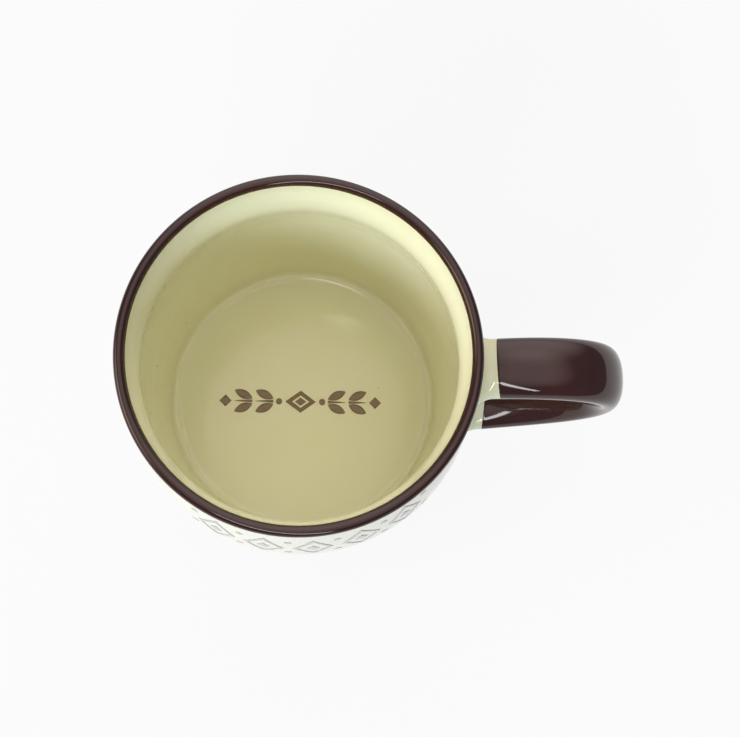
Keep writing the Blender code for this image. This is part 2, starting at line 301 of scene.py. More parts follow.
cup_clay = as_piece("cup_clay", turned(clay_outline), ["cup_body"])

# %% [markdown]
# ## Cream lining and white outside
# The inside is lined with a cream glaze and the outside is dipped in an off-white one. Both run up under the
# brown band, which is brushed over them, so their skins stop a little below its surface. The recessed base
# has a coat of the white glaze too.
# The lining keeps faint turning rings: a rib leaves ripples a few millimetres apart and about a hundredth of
# a millimetre deep. They are modelled, not painted, so that they bend the reflections as the real ones do.
# In the corner round the floor a thin, pale line is a painted highlight, which also lightens the corner's
# shade. The points there carry a mark, and the material follows it.

# %% Outside and lining
BAND_OUTSIDE = 5.0 * MM
BAND_INSIDE = 2.0 * MM
BAND_PROUD = 0.05 * MM
BAND_OVERLAP = 1.0 * MM
band_low = CUP_HEIGHT - BAND_OUTSIDE
band_inside = CUP_HEIGHT - BAND_INSIDE
white_line = sunk(outside[outside[:, 1] < band_low + BAND_OVERLAP], BAND_PROUD)
white_outside = as_piece("white_outside", turned(coat(white_line)), ["outer_glaze"])
cream_line = sunk(inside[inside[:, 1] < band_inside + BAND_OVERLAP], BAND_PROUD)
cream_lining = as_piece("cream_lining", turned(coat(cream_line)), ["inner_glaze"])

# %% Turning rings
RING_PITCH = 7.0 * MM
RING_DEPTH = 0.008 * MM
RING_FADE = 10.0 * MM
RING_DRIFT = 1.3
RING_DRIFT_LENGTH = 7.0 * MM


def points_of(piece):
    """Places of a piece's points about the cup's axis."""
    places = np.empty(len(piece.data.vertices) * 3)
    piece.data.vertices.foreach_get("co", places)
    return places.reshape(-1, 3)


def reshape(piece, move):
    """Move a piece's points by a function of their places."""
    piece.data.vertices.foreach_set("co", move(points_of(piece)).ravel())
    piece.data.update()


def turning_rings(places):
    """Ripple the wall below the neck, fading out towards the neck and the floor."""
    radius = np.hypot(places[:, 0], places[:, 1])
    height = places[:, 2]
    turn = np.arctan2(places[:, 1], places[:, 0])
    from_ends = np.minimum(INNER_NECK[1] - height, height - FILLET_TOP[1])
    fade = np.clip(from_ends / RING_FADE, 0, 1)
    drift = RING_DRIFT * np.sin(height / RING_DRIFT_LENGTH)
    phase = math.tau * height / RING_PITCH + drift + turn
    ripple = 1 + RING_DEPTH * fade * np.sin(phase) / np.maximum(radius, WALL)
    return places * np.stack([ripple, ripple, np.ones_like(ripple)], axis=1)


reshape(cream_lining, turning_rings)
print("turning rings %.0f mm apart, %.3f mm deep" % (RING_PITCH / MM, RING_DEPTH / MM))

# %% Painted highlight round the floor
CORNER_HIGHLIGHT_WIDTH = 0.5 * MM


def mark(piece, name, value):
    """Keep one number per point for a material to read, worked out from the points' places."""
    layer = piece.data.attributes.new(name, "FLOAT", "POINT")
    layer.data.foreach_set("value", value(points_of(piece)).astype(np.float32))


def painted_corner_highlight(places):
    """Painted highlight, one along the middle of the floor's corner and falling to nothing beside it."""
    radius = np.hypot(places[:, 0], places[:, 1])
    corner = FLOOR_FILLET * math.sqrt(0.5)
    outwards = radius - fillet_centre[0] - corner
    upwards = places[:, 2] - fillet_centre[1] + corner
    return np.exp(-(outwards ** 2 + upwards ** 2) / CORNER_HIGHLIGHT_WIDTH ** 2)


mark(cream_lining, "corner_highlight", painted_corner_highlight)
print("pooled line about %.0f mm wide round the floor" % (2 * CORNER_HIGHLIGHT_WIDTH / MM))

# %% Base coat
BASE_POINTS = 24
base_edge = foot_inner - RECESS_SLOPE - CLEARANCE
base_radii = np.linspace(0.0, base_edge, BASE_POINTS)
base_line = np.stack([base_radii, np.full_like(base_radii, FOOT_RECESS)], axis=1)
base_coat = as_piece("base_coat", turned(coat(base_line)), ["base_glaze"])

# %% [markdown]
# ## Brown band over the lip
# A potter bands the lip with a loaded brush while the mug turns on a banding wheel. The brown covers the
# whole lip, 5 mm down the outside and only a little way in. Its lower edge outside wanders by a tenth of a
# millimetre or two. The glaze is thinnest at its two edges, where iron brown breaks to amber.
# The thinness is kept on the points for the material to read.

# %% Lip band
EDGE_ROUND = 0.35 * MM


def run_along(line):
    """Distance along a line at each of its points."""
    return np.concatenate([[0.0], np.cumsum(np.linalg.norm(np.diff(line, axis=0), axis=1))])


band_line = chain(outside[outside[:, 1] > band_low], lip, mouth[mouth[:, 1] > band_inside])
band_run = run_along(band_line)
edge_distance = np.minimum(band_run, band_run[-1] - band_run)
edge_drop = BAND_PROUD * (1.0 - np.clip(edge_distance / EDGE_ROUND, 0, 1)) ** 2
drop_way = (sunk(band_line, 1.0) - band_line) * edge_drop[:, None]
band_outline = coat(band_line + drop_way)
brown_band = as_piece("brown_lip_band", turned(band_outline), ["rim_glaze_band"])

# %% Thin and wandering edges
THIN_WIDTH = 0.5 * MM
EDGE_WANDER = 0.12 * MM
WANDER_REACH = 2.0 * MM
# Waves round the lip, the share of the wander in each, and where each starts in radians.
WANDER_WAVES = ((3, 1.0, 0.7), (7, 0.6, 2.1), (13, 0.4, 0.0))


def band_thinness(places):
    """One at the band's edges, falling off quickly towards its middle."""
    radius = np.hypot(places[:, 0], places[:, 1])
    edge = np.where(radius > lip_centre[0], band_low, band_inside)
    return np.exp(-np.clip(places[:, 2] - edge, 0, None) / THIN_WIDTH)


def wander(places):
    """Let the band's lower edge wander up and down as the brush did."""
    turn = np.arctan2(places[:, 1], places[:, 0])
    wave = sum(share * np.sin(count * turn + start) for count, share, start in WANDER_WAVES)
    near_edge = np.clip(1 - (places[:, 2] - band_low) / WANDER_REACH, 0, 1)
    places[:, 2] += EDGE_WANDER * wave * near_edge
    return places


mark(brown_band, "thin", band_thinness)
reshape(brown_band, wander)
print("band: amber over %.1f mm at its edges" % (THIN_WIDTH / MM))

# %% [markdown]
# ## A lip drawn by its handle
# A wet handle weighs on the cup and draws the lip outwards on its side by a few tenths of a millimetre
# before the clay stiffens. The photograph shows it, so the clay and the three coats on it are all moved
# alike, most at the lip.

# %% Draw the lip
LIP_PULL = 0.4 * MM
PULL_DEPTH = 18.0 * MM
PULL_TURN = math.radians(-12.0)


def lip_pull(places):
    """Draw the cup outwards near its lip, on the handle's side."""
    turn = np.arctan2(places[:, 1], places[:, 0])
    nearness = np.clip(1 - (CUP_HEIGHT - places[:, 2]) / PULL_DEPTH, 0, 1) ** 2
    side = np.clip(np.cos(turn - PULL_TURN), 0, 1) ** 2
    pull = 1 + LIP_PULL * nearness * side / LIP_RADIUS
    return places * np.stack([pull, pull, np.ones_like(pull)], axis=1)


for piece in (cup_clay, white_outside, cream_lining, brown_band):
    reshape(piece, lip_pull)
print("lip drawn out by up to %.1f mm" % (LIP_PULL / MM))

# %% [markdown]
# ## Strap handle
# The handle is a cast strap, bent like an ear. Its middle line is two cubic curves that meet upright at the
# elbow. A rounded oblong is carried along that line, square to it, and skinned. The strap widens steadily on
# its way round and flares at its lower root. A curve object with a bevel could do the bend, but not that
# change of width alone, so the rings are placed one by one.

# %% Middle line of the strap
STRAP_THICKNESS = 8.8 * MM
UPPER_ROOT = CUP_HEIGHT - 24.3 * MM
LOWER_ROOT = 22.5 * MM
ROOT_DEPTH = 3.5 * MM
ELBOW_DROP = 16.5 * MM
ELBOW = (STRAP_END - STRAP_THICKNESS / 2, UPPER_ROOT - ELBOW_DROP)
UPPER_RISE = math.radians(26.0)
LOWER_RISE = math.radians(4.0)
UPPER_REACH = 27.0 * MM
LOWER_REACH = 26.0 * MM
EASE_ABOVE_ELBOW = 18.5 * MM
EASE_BELOW_ELBOW = 14.5 * MM
LIMB_POINTS = 400
upper_start = (wall_radius(UPPER_ROOT) - ROOT_DEPTH, UPPER_ROOT)
lower_start = (wall_radius(LOWER_ROOT) - ROOT_DEPTH, LOWER_ROOT)


def leaving(start, reach, rise):
    """Control point at a reach from a root, at its rise."""
    return start[0] + reach * math.cos(rise), start[1] + reach * math.sin(rise)


above_elbow = (ELBOW[0], ELBOW[1] + EASE_ABOVE_ELBOW)
below_elbow = (ELBOW[0], ELBOW[1] - EASE_BELOW_ELBOW)
upper_limb = (upper_start, leaving(upper_start, UPPER_REACH, UPPER_RISE), above_elbow, ELBOW)
lower_limb = (ELBOW, below_elbow, leaving(lower_start, LOWER_REACH, LOWER_RISE), lower_start)
strap_line = chain(bezier(upper_limb, LIMB_POINTS), bezier(lower_limb, LIMB_POINTS))
strap_run = run_along(strap_line)
strap_way = np.gradient(strap_line, strap_run, axis=0)
clear = strap_run[strap_line[:, 0] > wall_radius(strap_line[:, 1])]
leaves_wall, meets_wall = clear[0], clear[-1]
print("strap: %.1f mm long between the walls" % ((meets_wall - leaves_wall) / MM))

# %% Rings along the strap
STRAP_WIDTH = 15.4 * MM
STRAP_WIDENING = 1.4 * MM
ROOT_FLARE = 2.1 * MM
FLARE_POWER = 4
SQUARENESS = 2.3
RING_POINTS = 64


def half_width(run):
    """Half the strap's width at a run along it, or at an array of runs."""
    share = (run - leaves_wall) / (meets_wall - leaves_wall)
    return STRAP_WIDTH / 2 + STRAP_WIDENING * share + ROOT_FLARE * share ** FLARE_POWER


def ring(run, grow, lean=0.0):
    """Points round the strap at a run along it. A lean sets one side of the ring ahead of the other."""
    turn = np.linspace(0.0, math.tau, RING_POINTS, endpoint=False)
    across = np.sign(np.cos(turn)) * np.abs(np.cos(turn)) ** (2 / SQUARENESS)
    through = np.sign(np.sin(turn)) * np.abs(np.sin(turn)) ** (2 / SQUARENESS)
    run = run + lean * half_width(run) * across
    radius, height = (np.interp(run, strap_run, strap_line[:, k]) for k in range(2))
    way = np.array([np.interp(run, strap_run, strap_way[:, k]) for k in range(2)])
    way /= np.linalg.norm(way, axis=0)
    wide = (half_width(run) + grow) * across
    thick = (STRAP_THICKNESS / 2 + grow) * through
    return np.stack([radius - way[1] * thick, wide, height + way[0] * thick], axis=1)


def skinned(rings):
    """Closed tube through a row of rings, whose last row is joined to the first."""
    source = bmesh.new()
    loops = [[source.verts.new(point) for point in points] for points in rings]
    for one, two in zip(loops, loops[1:] + loops[:1]):
        for k in range(RING_POINTS):
            j = (k + 1) % RING_POINTS
            source.faces.new((one[k], one[j], two[j], two[k]))
    return source


root_widths = [2 * half_width(run) / MM for run in (leaves_wall, meets_wall)]
print("strap %.1f mm wide at the upper root and %.1f mm at the lower one" % tuple(root_widths))

# %% [markdown]
# ## Brown sleeve and cream roots
# The handle is dipped in the brown glaze up to a clean line short of the wall, and its two roots keep the
# cream one. The brown stands a twentieth of a millimetre proud of the cream, with a rounded edge.
# At the wall each root is smoothed in with a small fillet, as a wet sponge leaves the joint. The fillet is
# found point by point: the closer a point is to the wall, the further it is pushed out of the strap. It then
# goes back to its old distance from the wall, so that the fillet follows the cup round. A point behind the
# wall sinks only a little way. A bevel where two joined meshes meet would do too, but it is harder to keep
# smooth where they meet at a slant.

# %% Brown sleeve
UPPER_CREAM = 5.9 * MM
LOWER_CREAM = 7.3 * MM
UPPER_LEAN = -0.04
LOWER_LEAN = -0.13
LEAN_LENGTH = 14.0 * MM
SLEEVE_STEPS = 150
EDGE_STEPS = 5
brown_start = leaves_wall + UPPER_CREAM
brown_end = meets_wall - LOWER_CREAM
sleeve_runs = np.concatenate([
    brown_start + np.linspace(0, EDGE_ROUND, EDGE_STEPS)[:-1],
    np.linspace(brown_start + EDGE_ROUND, brown_end - EDGE_ROUND, SLEEVE_STEPS),
    brown_end - np.linspace(EDGE_ROUND, 0, EDGE_STEPS)[1:],
])


def edge_grow(run):
    """How far the brown is drawn in near its two ends."""
    distance = min(run - brown_start, brown_end - run)
    return -BAND_PROUD * (1.0 - min(distance / EDGE_ROUND, 1.0)) ** 2


def sleeve_lean(run):
    """Lean of the brown's two end lines, which fades out along the strap."""
    upper = max(0.0, 1.0 - (run - brown_start) / LEAN_LENGTH)
    lower = max(0.0, 1.0 - (brown_end - run) / LEAN_LENGTH)
    return UPPER_LEAN * upper + LOWER_LEAN * lower


brown_rings = [ring(run, edge_grow(run), sleeve_lean(run)) for run in sleeve_runs]
brown_rings += [ring(run, -GLAZE, sleeve_lean(run)) for run in sleeve_runs[::-1]]
brown_skin = skinned(brown_rings)
brown_sleeve = as_piece("brown_strap_sleeve", brown_skin, ["handle_brown_glaze"])

# %% Cream roots with their fillets
ROOT_FILLET = 5.0 * MM
ROOT_LEDGE = 0.1 * MM
ROOT_SINK = 1.2 * MM
ROOT_STEPS = 120
ROOT_TUCK = 3.3 * MM
ROOT_OVERLAP = 2.5 * MM


def root_ring(run, depth):
    """Ring of a root, spread along the wall by a quarter-round fillet with a thin edge."""
    plain = ring(run, depth)
    out = ring(run, depth + MM) - plain
    out /= np.linalg.norm(out, axis=1)[:, None]
    distance = np.hypot(plain[:, 0], plain[:, 1]) - wall_radius(plain[:, 2])
    share = np.clip(1.0 - (distance - ROOT_LEDGE) / ROOT_FILLET, 0.0, 1.0)
    spread = plain + out * (ROOT_FILLET * (1.0 - np.sqrt(1.0 - share ** 2)))[:, None]
    behind = ROOT_SINK * np.expm1(np.minimum(distance, 0.0) / ROOT_SINK)
    radius = wall_radius(spread[:, 2]) + np.maximum(distance, 0.0) + behind
    spread[:, :2] *= (radius / np.hypot(spread[:, 0], spread[:, 1]))[:, None]
    return spread


def cream_root(name, start, end, node):
    """One root from inside the wall to just under the brown sleeve."""
    runs = np.linspace(start, end, ROOT_STEPS)
    rings = [root_ring(run, -BAND_PROUD) for run in runs]
    rings += [root_ring(run, -GLAZE) for run in runs[::-1]]
    return as_piece(name, skinned(rings), [node])


upper_ends = (leaves_wall - ROOT_TUCK, brown_start + ROOT_OVERLAP)
lower_ends = (brown_end - ROOT_OVERLAP, meets_wall + ROOT_TUCK)
cream_roots = [
    cream_root("upper_cream_root", *upper_ends, "upper_root_glaze"),
    cream_root("lower_cream_root", *lower_ends, "lower_root_glaze"),
]

# %% [markdown]
# ## Printed ornaments
# A small brown ornament is printed on the middle of the floor, and a pale grey one on the front of the wall.
# Both are plain rows of lozenges, dots, leaves and tapered lines. Nearly all are one kind of stroke: a line
# with a width that changes along it. The strokes are laid on the surface and given the thickness of a
# transfer. A texture could hold them too, but cut shapes stay sharp at any distance.

# %% Strokes
STROKE_STEPS = 24
STROKE_ROWS = 5
LOZENGE_STEPS = 17
SIDE_STEPS = 15
LEAF_POINTING = 0.8
TAPER_POINTING = 0.7


def stroke(start, end, half, count=STROKE_STEPS):
    """Grid of points along a line, half of whose width is a function of the way along."""
    start, end = np.array(start), np.array(end)
    along = (end - start) / np.linalg.norm(end - start)
    side = np.array([-along[1], along[0]])
    t = np.linspace(0.0, 1.0, count)
    spread = np.linspace(-1.0, 1.0, STROKE_ROWS)
    widths = np.array([half(k) for k in t])
    middle = start + np.outer(t, end - start)
    return middle[:, None, :] + (widths[:, None] * spread)[:, :, None] * side


def lozenge(x, y, width, height):
    """Solid lozenge."""
    ends = (x - width / 2, y), (x + width / 2, y)
    return [stroke(*ends, lambda t: height / 2 * (1 - abs(2 * t - 1)), LOZENGE_STEPS)]


def lozenge_frame(x, y, width, height, line):
    """Open lozenge: four mitred strips between an outer and an inner lozenge."""
    corners = np.array([(-width / 2, 0), (0, height / 2), (width / 2, 0), (0, -height / 2)])
    inner = 1 - 2 * line * math.hypot(width, height) / (width * height)
    sizes = np.array([1.0, (1 + inner) / 2, inner])
    t = np.linspace(0.0, 1.0, SIDE_STEPS)[:, None]
    sides = [a + t * (b - a) for a, b in zip(corners, np.roll(corners, -1, axis=0))]
    return [np.array((x, y)) + side[:, None, :] * sizes[:, None] for side in sides]


def dot(x, y, radius):
    """Round dot."""
    ends = (x - radius, y), (x + radius, y)
    return [stroke(*ends, lambda t: radius * math.sqrt(max(0.0, 1 - (2 * t - 1) ** 2)))]


def leaf(start, end, width):
    """Pointed leaf."""
    return [stroke(start, end, lambda t: width / 2 * math.sin(math.pi * t) ** LEAF_POINTING)]


def taper(start, end, width):
    """Line that runs out to a point."""
    return [stroke(start, end, lambda t: width / 2 * (1 - t) ** TAPER_POINTING)]


print("a dot is a grid of %d by %d points" % dot(0, 0, 1)[0].shape[:2])

# %% Strokes into a print
PRINT_THICKNESS = 0.03 * MM


def printed(name, strokes, onto):
    """Piece made of strokes, in millimetres, laid on a surface by a function of their places."""
    source = bmesh.new()
    for grid in strokes:
        places = onto(grid.reshape(-1, 2) * MM).reshape(*grid.shape[:2], 3)
        verts = [[source.verts.new(place) for place in row] for row in places]
        for one, two in zip(verts, verts[1:]):
            for k in range(len(one) - 1):
                source.faces.new((one[k], two[k], two[k + 1], one[k + 1]))
    bmesh.ops.remove_doubles(source, verts=source.verts, dist=WELD)
    piece = as_piece(name, source)
    solid = piece.modifiers.new("transfer", "SOLIDIFY")
    solid.thickness = PRINT_THICKNESS
    solid.offset = 0.0
    return piece


print("prints are %.2f mm thick" % (PRINT_THICKNESS / MM))

# %% Ornament on the floor
FLOOR_PRINT_CENTRE = (-0.9 * MM, -1.0 * MM)
# The sizes of the ornament itself are in millimetres, width before height.
MIDDLE_FRAME = (9.6, 7.0)
MIDDLE_LINE = 1.2
MIDDLE_STONE = (3.6, 2.6)
DOT_PLACE = 6.8
DOT_RADIUS = 1.0
LEAF_ROOTS = (8.6, 15.2)
LEAF_START = 0.85
LEAF_REACH = (5.6, 3.4)
LEAF_WIDTH = 2.7
STALK_LENGTH = 5.8
STALK_WIDTH = 0.9
END_PLACE = 23.6
END_STONE = (3.8, 3.8)


def on_floor(flat):
    """Places on the cup's floor."""
    height = np.full(len(flat), FLOOR_HEIGHT + BAND_PROUD)
    return np.column_stack([flat + FLOOR_PRINT_CENTRE, height])


floor_strokes = lozenge_frame(0, 0, *MIDDLE_FRAME, MIDDLE_LINE) + lozenge(0, 0, *MIDDLE_STONE)
for side in (-1, 1):
    floor_strokes += dot(side * DOT_PLACE, 0, DOT_RADIUS)
    for root in LEAF_ROOTS:
        leaf_end = side * (root + LEAF_REACH[0])
        floor_strokes += leaf((side * root, LEAF_START), (leaf_end, LEAF_REACH[1]), LEAF_WIDTH)
        floor_strokes += leaf((side * root, -LEAF_START), (leaf_end, -LEAF_REACH[1]), LEAF_WIDTH)
        floor_strokes += taper((side * root, 0), (side * (root + STALK_LENGTH), 0), STALK_WIDTH)
    floor_strokes += lozenge(side * END_PLACE, 0, *END_STONE)
floor_print = printed("floor_ornament", floor_strokes, on_floor)

# %% Ornament on the front
FRONT_PRINT_HEIGHT = 62.0 * MM
FRONT_PRINT_TURN = math.radians(-85.0)
# Again in millimetres, width before height.
FRONT_PITCH = 12.6
FRONT_FRAME = (10.4, 20.0)
FRONT_LINE = 1.1
FRONT_STONE = (3.4, 7.0)
FRONT_DOT_LEVEL = 7.4


def on_front(flat):
    """Places on the outside wall, width run round it and height up it."""
    height = FRONT_PRINT_HEIGHT + flat[:, 1]
    radius = wall_radius(height)
    turn = FRONT_PRINT_TURN + flat[:, 0] / wall_radius(FRONT_PRINT_HEIGHT)
    return np.stack([radius * np.cos(turn), radius * np.sin(turn), height], axis=1)


front_strokes = []
for k in range(-2, 3):
    front_strokes += lozenge_frame(FRONT_PITCH * k, 0, *FRONT_FRAME, FRONT_LINE)
    front_strokes += lozenge(FRONT_PITCH * k, 0, *FRONT_STONE)
for k in range(-3, 3):
    for level in (-FRONT_DOT_LEVEL, FRONT_DOT_LEVEL):
        front_strokes += dot(FRONT_PITCH * (k + 0.5), level, DOT_RADIUS)
front_print = printed("front_ornament", front_strokes, on_front)

# %% [markdown]
# ## Finishes
# A glaze is a skin of glass on clay, so all of them share glass's index of refraction, about 1.5, and a low
# roughness. What sets them apart is colour and depth. Colours are written as sRGB hex values, as a colour
# picker shows them, and turned into the linear values that the shader works with. Patterns are measured in
# millimetres.

# %% Helpers for materials
GLASS_IOR = 1.5


def linear(code):
    """Linear colour from an sRGB hex value, by the curve of the sRGB standard."""
    parts = [int(code[k:k + 2], 16) / 255 for k in (1, 3, 5)]
    return tuple(c / 12.92 if c <= 0.04045 else ((c + 0.055) / 1.055) ** 2.4 for c in parts) + (1.0,)


def per_mm(size):
    """Texture scale, in patterns per metre, for a pattern of so many millimetres."""
    return 1.0 / (size * MM)


def add(tree, kind, sockets=None, **settings):
    """Add a node: settings are its own options, and sockets are values or links for its inputs."""
    node = tree.nodes.new(kind)
    for name, value in settings.items():
        setattr(node, name, value)
    for name, value in (sockets or {}).items():
        if isinstance(value, bpy.types.NodeSocket):
            tree.links.new(value, node.inputs[name])
        else:
            node.inputs[name].default_value = value
    return node


def new_material(name):
    """Empty node material and its tree."""
    material = bpy.data.materials.new(name)
    material.use_nodes = True
    material.node_tree.nodes.clear()
    return material, material.node_tree


print("the hex value #808080 is %.3f in linear light" % linear("#808080")[0])

# %% [markdown]
# ### Cream and white glazes
# A stoneware glaze is melted glass with a little tin or zircon in it, which makes it milky.
# It lies thicker in some places than in others, so its colour drifts over a couple of centimetres. The pale
# line in the corner round the floor is a painted highlight. On the handle's roots the glaze lies thinner and
# looks greyer, and there it is also darkened with painted shade from the lip. A few iron specks from the
# clay bleed through as brown pin points.
# The surface is glossy, with a slight orange peel a few millimetres wide.

# %% Pale glaze
PALE_DRIFT = per_mm(22.0)
PALE_SHEEN = per_mm(9.0)
PALE_PEEL = per_mm(4.0)
PALE_ROUGHNESS = {"To Min": 0.04, "To Max": 0.10}
PEEL_RELIEF = {"Strength": 0.25, "Distance": 0.02 * MM}
SPECK_SPACING = per_mm(6.0)
# A speck is dark to the first share of its spacing and gone at the second.
SPECK_EDGE = {"From Min": 0.03, "From Max": 0.06, "To Min": 1.0, "To Max": 0.0}
SPECK_COLOUR = linear("#6E5430")
# Colour of the painted highlight in the corner round the floor.
CORNER_HIGHLIGHT_COLOUR = linear("#FBF9E2")


def pale_glaze(name, thin, thick, speck_share):
    """Glossy opaque glaze whose colour drifts between two values, with a painted highlight where marked."""
    material, tree = new_material(name)
    places = add(tree, "ShaderNodeTexCoord").outputs["Object"]
    drift = add(tree, "ShaderNodeTexNoise", {"Vector": places, "Scale": PALE_DRIFT, "Detail": 3.0})
    tones = {"Factor": drift.outputs["Fac"], "A": linear(thin), "B": linear(thick)}
    body = add(tree, "ShaderNodeMix", tones, data_type="RGBA")
    # Painted highlight: where the points' mark says so, the corner round the floor is mixed towards a pale
    # colour.
    corner_highlight = add(tree, "ShaderNodeAttribute", attribute_name="corner_highlight")
    highlighted = {"Factor": corner_highlight.outputs["Fac"], "A": body.outputs["Result"], "B": CORNER_HIGHLIGHT_COLOUR}
    deep = add(tree, "ShaderNodeMix", highlighted, data_type="RGBA")
    cells = add(tree, "ShaderNodeTexVoronoi", {"Vector": places, "Scale": SPECK_SPACING})
    chosen = add(tree, "ShaderNodeSeparateColor", {"Color": cells.outputs["Color"]})
    few = {0: chosen.outputs["Red"], 1: 1.0 - speck_share}
    has_speck = add(tree, "ShaderNodeMath", few, operation="GREATER_THAN")
    core = add(tree, "ShaderNodeMapRange", {"Value": cells.outputs["Distance"], **SPECK_EDGE})
    both = {0: has_speck.outputs[0], 1: core.outputs["Result"]}
    speck = add(tree, "ShaderNodeMath", both, operation="MULTIPLY")
    specked = {"Factor": speck.outputs[0], "A": deep.outputs["Result"], "B": SPECK_COLOUR}
    colour = add(tree, "ShaderNodeMix", specked, data_type="RGBA")
    sheen = add(tree, "ShaderNodeTexNoise", {"Vector": places, "Scale": PALE_SHEEN, "Detail": 2.0})
    rough = add(tree, "ShaderNodeMapRange", {"Value": sheen.outputs["Fac"], **PALE_ROUGHNESS})
    peel = add(tree, "ShaderNodeTexNoise", {"Vector": places, "Scale": PALE_PEEL, "Detail": 1.0})
    relief = add(tree, "ShaderNodeBump", {"Height": peel.outputs["Fac"], **PEEL_RELIEF})
    surface = add(tree, "ShaderNodeBsdfPrincipled", {
        "Base Color": colour.outputs["Result"],
        "Roughness": rough.outputs["Result"],
        "Normal": relief.outputs["Normal"],
        "IOR": GLASS_IOR,
    })
    add(tree, "ShaderNodeOutputMaterial", {"Surface": surface.outputs["BSDF"]})
    return material


cream_glaze = pale_glaze("cream_stoneware_glaze", "#EFEED0", "#EBEABF", speck_share=0.05)
# The roots' cream is darker partly because the glaze is thinner there and partly as painted shade from the
# lip.
shaded_thin_cream_glaze = pale_glaze("shaded_thin_cream_stoneware_glaze", "#D1D3AF", "#C9CBA4", speck_share=0.01)
white_glaze = pale_glaze("off_white_stoneware_glaze", "#E0DDC7", "#DAD7BF", speck_share=0.01)
cream_lining.data.materials.append(cream_glaze)
for piece in cream_roots:
    piece.data.materials.append(shaded_thin_cream_glaze)
for piece in (white_outside, base_coat):
    piece.data.materials.append(white_glaze)
print("pale glazes on the lining, the outside, the base and", len(cream_roots), "roots")

# %% [markdown]
# ### Brown glaze
# An iron glaze fires to a dark, glassy brown. Where it runs thin, at the edges of the brushwork, it breaks to
# amber. The points of the band carry that thinness, and the colour follows it. The dipped sleeve carries
# none: it is one even coat, a little thinner than the middle of the brushed band and therefore a little
# warmer.

# %% Iron brown glazes
IRON_DRIFT = per_mm(11.0)
IRON_SHEEN = per_mm(7.0)
IRON_PEEL = per_mm(4.5)
IRON_ROUGHNESS = {"To Min": 0.03, "To Max": 0.09}
AMBER = linear("#6B4022")


def iron_glaze(name, dark, light):
    """Glassy brown that drifts between two values, and is amber where the points say that it is thin."""
    material, tree = new_material(name)
    places = add(tree, "ShaderNodeTexCoord").outputs["Object"]
    drift = add(tree, "ShaderNodeTexNoise", {"Vector": places, "Scale": IRON_DRIFT, "Detail": 4.0})
    tones = {"Factor": drift.outputs["Fac"], "A": linear(dark), "B": linear(light)}
    depth = add(tree, "ShaderNodeMix", tones, data_type="RGBA")
    thin = add(tree, "ShaderNodeAttribute", attribute_name="thin")
    thinned = {"Factor": thin.outputs["Fac"], "A": depth.outputs["Result"], "B": AMBER}
    broken = add(tree, "ShaderNodeMix", thinned, data_type="RGBA")
    sheen = add(tree, "ShaderNodeTexNoise", {"Vector": places, "Scale": IRON_SHEEN, "Detail": 2.0})
    rough = add(tree, "ShaderNodeMapRange", {"Value": sheen.outputs["Fac"], **IRON_ROUGHNESS})
    peel = add(tree, "ShaderNodeTexNoise", {"Vector": places, "Scale": IRON_PEEL, "Detail": 1.0})
    relief = add(tree, "ShaderNodeBump", {"Height": peel.outputs["Fac"], **PEEL_RELIEF})
    surface = add(tree, "ShaderNodeBsdfPrincipled", {
        "Base Color": broken.outputs["Result"],
        "Roughness": rough.outputs["Result"],
        "Normal": relief.outputs["Normal"],
        "IOR": GLASS_IOR,
    })
    add(tree, "ShaderNodeOutputMaterial", {"Surface": surface.outputs["BSDF"]})
    return material


brown_band.data.materials.append(iron_glaze("brushed_iron_glaze", "#1E0D0A", "#33170F"))
brown_sleeve.data.materials.append(iron_glaze("dipped_iron_glaze", "#27120E", "#3B1E18"))
print("brown glazes on the band and the sleeve")

# %% [markdown]
# ### Prints
# Ceramic transfers are printed in metal-oxide colour and fired under a clear glaze,
# so they are as glossy as what is round them.
# Screen printing leaves a faint, patchy cover that is modelled as a fine noise in the colour.

# %% Transfer prints
COVER_PATCHES = per_mm(1.6)
PRINT_ROUGHNESS = 0.07


def transfer_print(name, dense, sparse):
    """Glossy print whose cover varies a little."""
    material, tree = new_material(name)
    places = add(tree, "ShaderNodeTexCoord").outputs["Object"]
    cover = add(tree, "ShaderNodeTexNoise", {"Vector": places, "Scale": COVER_PATCHES, "Detail": 3.0})
    tones = {"Factor": cover.outputs["Fac"], "A": linear(dense), "B": linear(sparse)}
    colour = add(tree, "ShaderNodeMix", tones, data_type="RGBA")
    surface = add(tree, "ShaderNodeBsdfPrincipled", {
        "Base Color": colour.outputs["Result"],
        "Roughness": PRINT_ROUGHNESS,
        "IOR": GLASS_IOR,
    })
    add(tree, "ShaderNodeOutputMaterial", {"Surface": surface.outputs["BSDF"]})
    return material


floor_print.data.materials.append(transfer_print("brown_transfer_print", "#77603F", "#86704E"))
front_print.data.materials.append(transfer_print("grey_transfer_print", "#A9A9A0", "#BCBCB3"))
print("prints coloured on the floor and the front")

# %% [markdown]
# ### Bare clay
# Fired stoneware is buff and matt, with a fine sandy grain. It shows on the wiped foot ring. The strap under
# the glazes is the same clay, and the two slip joints are a paler one. All three keep the shape that the
# frame gives them.

# %% Stoneware and slip
CLAY_GRAIN = per_mm(0.6)
CLAY_PATCHES = per_mm(9.0)
CLAY_CONTRAST = {"From Min": 0.1, "From Max": 0.45}
CLAY_RELIEF = {"Strength": 0.5, "Distance": 0.05 * MM}
CLAY_ROUGHNESS = 0.8


